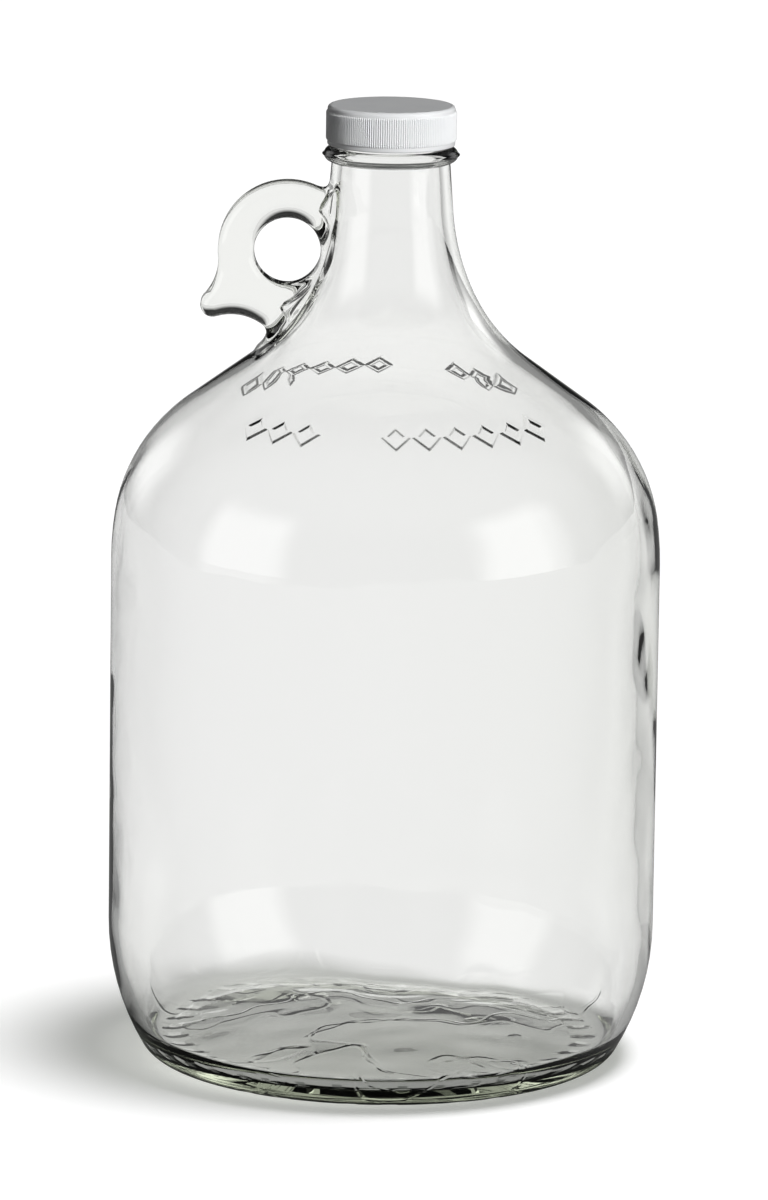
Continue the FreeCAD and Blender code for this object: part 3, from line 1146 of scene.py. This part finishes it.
# azimuth from the camera's side, half width, lowest and highest elevation, strength
soft_boxes = [
    (64.0, 24.0, -14.0, 36.0, 1.9),
    (-62.0, 24.0, -14.0, 36.0, 1.7),
    (140.0, 16.0, 0.0, 30.0, 1.0),
    (-140.0, 16.0, 0.0, 30.0, 1.0),
]

# azimuth, elevation and spread in degrees, and strength
key_light = (36, 24, 20, 3.4)
floor_light = (76, 79, 18, 2.8)


def floor_material():
    """White for the eye, past or through the glass, with the jug's shadow. Its glow paints shade
    round the jug's foot and paints light into the shadow seen through the glass, and the floor
    is painted dark in what the glass turns aside to its sides and in what its front mirrors.
    """
    material = bpy.data.materials.new("studio_floor")
    wiring = Wiring(material)
    path = wiring.path
    x, y, _ = wiring.add("SeparateXYZ", {0: wiring.place["Object"]}).outputs
    off_behind = wiring.math("ABSOLUTE", wiring.math("ARCTAN2", x, y))
    behind = wiring.fade(behind_half_angle, off_behind, behind_fade)
    aside = wiring.pick(behind, floor_behind, painted_dark_floor_aside)
    turned_aside = wiring.turned_aside()
    level = wiring.pick(path["Is Transmission Ray"], floor_through, floor_plain)
    # Painted dark reflections: away from behind the jug, what the glass turns aside sees the
    # floor darkened, and so does what its front mirrors.
    level = wiring.pick(turned_aside, aside, level)
    level = wiring.pick(wiring.mirrored(), painted_dark_floor_mirrored, level)
    level = wiring.pick(path["Is Diffuse Ray"], floor_bounce, level)
    matte = wiring.add("BsdfDiffuse", {"Color": level})

    away = wiring.add("VectorMath", {0: wiring.place["Object"]})
    away.operation = "LENGTH"
    # Painted shade: the glow is weaker under and near the jug, so the floor darkens round its
    # foot.
    clear = wiring.add("MapRange", {
        "Value": away.outputs["Value"],
        "From Min": body_radius * MM * glow_inner_edge,
        "From Max": body_radius * MM * glow_outer_edge,
        "To Min": floor_glow * glow_left_in_painted_shade,
        "To Max": floor_glow,
    })
    clear.interpolation_type = "SMOOTHSTEP"
    # Painted light: more glow for what is seen through the glass thins the jug's shadow there.
    share = wiring.pick(turned_aside, painted_glow_turned, painted_glow_through)
    through = wiring.product(path["Is Transmission Ray"], share)
    seen = wiring.math("MAXIMUM", path["Is Camera Ray"], through)
    strength = wiring.product(clear.outputs["Result"], seen)
    glow = wiring.add("Emission", {"Strength": strength})
    both = wiring.add("AddShader", {0: matte.outputs["BSDF"], 1: glow.outputs["Emission"]})
    wiring.add("OutputMaterial", {"Surface": both.outputs["Shader"]})
    return material


def make_floor():
    mesh = bpy.data.meshes.new("studio_floor")
    half = 9.0
    corners = [(-half, -half, 0), (half, -half, 0), (half, half, 0), (-half, half, 0)]
    mesh.from_pydata(corners, [], [(0, 1, 2, 3)])
    floor = bpy.data.objects.new("studio_floor", mesh)
    ground = bpy.data.collections.new("ground")
    bpy.context.scene.collection.children.link(ground)
    ground.objects.link(floor)
    mesh.materials.append(floor_material())
    return floor


def soft_box(wiring, azimuth, rise, middle, half_width, low, high, strength):
    """A bright patch with soft edges, at an azimuth from the camera's side."""
    turn = wiring.math("SUBTRACT", azimuth, math.radians(middle))
    turn = wiring.math("WRAP", turn, math.pi)
    turn.node.inputs[2].default_value = -math.pi
    off_level = wiring.math("SUBTRACT", rise, math.radians((low + high) / 2))
    in_width = wiring.fade(half_width, wiring.math("ABSOLUTE", turn), soft_box_edge)
    in_height = wiring.fade((high - low) / 2, wiring.math("ABSOLUTE", off_level), soft_box_edge)
    return wiring.product(in_width, in_height, strength)


def make_world():
    """White for what the eye sees, past or straight through the glass; a dim room with
    soft boxes for what the glass mirrors or turns aside."""
    world = bpy.data.worlds.new("studio")
    bpy.context.scene.world = world
    wiring = Wiring(world)
    path = wiring.path
    x, y, z = wiring.add("SeparateXYZ", {0: wiring.place["Generated"]}).outputs
    azimuth = wiring.math("ARCTAN2", x, wiring.product(y, -1.0))
    rise = wiring.math("ARCSINE", z)

    boxes = soft_box(wiring, azimuth, rise, *soft_boxes[0])
    for box in soft_boxes[1:]:
        boxes = wiring.math("ADD", boxes, soft_box(wiring, azimuth, rise, *box))
    shiny = wiring.math("SUBTRACT", 1.0, path["Is Diffuse Ray"])
    room = wiring.pick(shiny, room_mirrored, room_level)
    overhead = wiring.math("SUBTRACT", 1.0, wiring.fade(ceiling_full, rise, ceiling_fade))
    ceiling = wiring.product(wiring.mirrored(), overhead, ceiling_level)
    room = wiring.math("ADD", room, ceiling)

    # What the glass turns aside still finds the backdrop, if it leaves low and backwards.
    low = wiring.fade(turned_backdrop_top, rise, turned_backdrop_fade)
    off_front = wiring.math("ABSOLUTE", azimuth)
    back = wiring.math("GREATER_THAN", off_front, math.radians(turned_backdrop_side))
    turned = wiring.product(path["Is Transmission Ray"], wiring.turned_aside(), low, back)
    room = wiring.math("ADD", room, wiring.product(turned, turned_backdrop_level))
    room = wiring.math("ADD", room, wiring.product(boxes, shiny))

    straight = wiring.math("LESS_THAN", path["Glossy Depth"], 0.5)
    backdrop = wiring.fade(backdrop_top, rise, backdrop_fade)
    through = wiring.product(path["Is Transmission Ray"], straight, backdrop)
    mix = wiring.add("MixShader", {
        "Fac": wiring.math("MAXIMUM", path["Is Camera Ray"], through),
        1: wiring.add("Background", {"Strength": room}).outputs[0],
        2: wiring.add("Background", {"Strength": 1.0}).outputs[0],
    })
    wiring.add("OutputWorld", {"Surface": mix.outputs[0]})


def make_sun(name, azimuth, elevation, spread, strength):
    """An even, soft light from one side; azimuth from the camera's side, in degrees."""
    data = bpy.data.lights.new(name, "SUN")
    data.angle = math.radians(spread)
    data.energy = strength
    lamp = bpy.data.objects.new(name, data)
    bpy.context.scene.collection.objects.link(lamp)
    turn = math.radians(azimuth)
    rise = math.radians(elevation)
    level = math.cos(rise)
    towards = Vector((math.sin(turn) * level, -math.cos(turn) * level, math.sin(rise)))
    lamp.location = towards * 2
    lamp.rotation_euler = (-lamp.location).to_track_quat("-Z", "Y").to_euler()
    lamp.visible_camera = False
    lamp.visible_glossy = False
    lamp.visible_transmission = False
    return lamp


# ---------------------------------------------------------------- camera

camera_lens = 244.1
camera_distance = 2.475
camera_elevation = 11.02
camera_target = (0, 0, 0.156)
camera_roll = 0.78
camera_shift = (-0.0014, -0.0405)


def make_camera():
    """The camera stands 2.5 m off and a little above, and leans a hair to one side."""
    data = bpy.data.cameras.new("camera")
    data.lens = camera_lens
    data.sensor_width = 36.0
    data.clip_start = 0.1
    data.clip_end = 30.0
    camera = bpy.data.objects.new("camera", data)
    bpy.context.scene.collection.objects.link(camera)
    elevation = math.radians(camera_elevation)
    back = Vector((0, -math.cos(elevation), math.sin(elevation)))
    camera.location = Vector(camera_target) + back * camera_distance
    turn = (-back).to_track_quat("-Z", "Y")
    roll = Matrix.Rotation(math.radians(camera_roll), 3, "Z")
    camera.rotation_euler = (turn.to_matrix() @ roll).to_euler()
    # The jug's axis stands a little off the frame's middle.
    data.shift_x = camera_shift[0]
    data.shift_y = camera_shift[1]
    bpy.context.scene.camera = camera


def main():
    bpy.context.scene.view_settings.view_transform = "Standard"
    make_camera()
    floor = make_floor()
    make_world()
    glass = make_glass()
    glass.data.materials.append(glass_material())
    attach(glass, "root")
    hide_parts("jug")
    cap = make_cap()
    cap.data.materials.append(cap_material())
    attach(cap, "root")
    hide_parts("cap")

    # One lamp lights only the object, the other only the floor, where the jug shades it.
    object_pieces = bpy.data.collections.new("object_pieces")
    object_pieces.objects.link(glass)
    object_pieces.objects.link(cap)
    key = make_sun("key", *key_light)
    key.light_linking.receiver_collection = object_pieces
    over_floor = make_sun("floor_light", *floor_light)
    over_floor.light_linking.receiver_collection = floor.users_collection[0]


main()
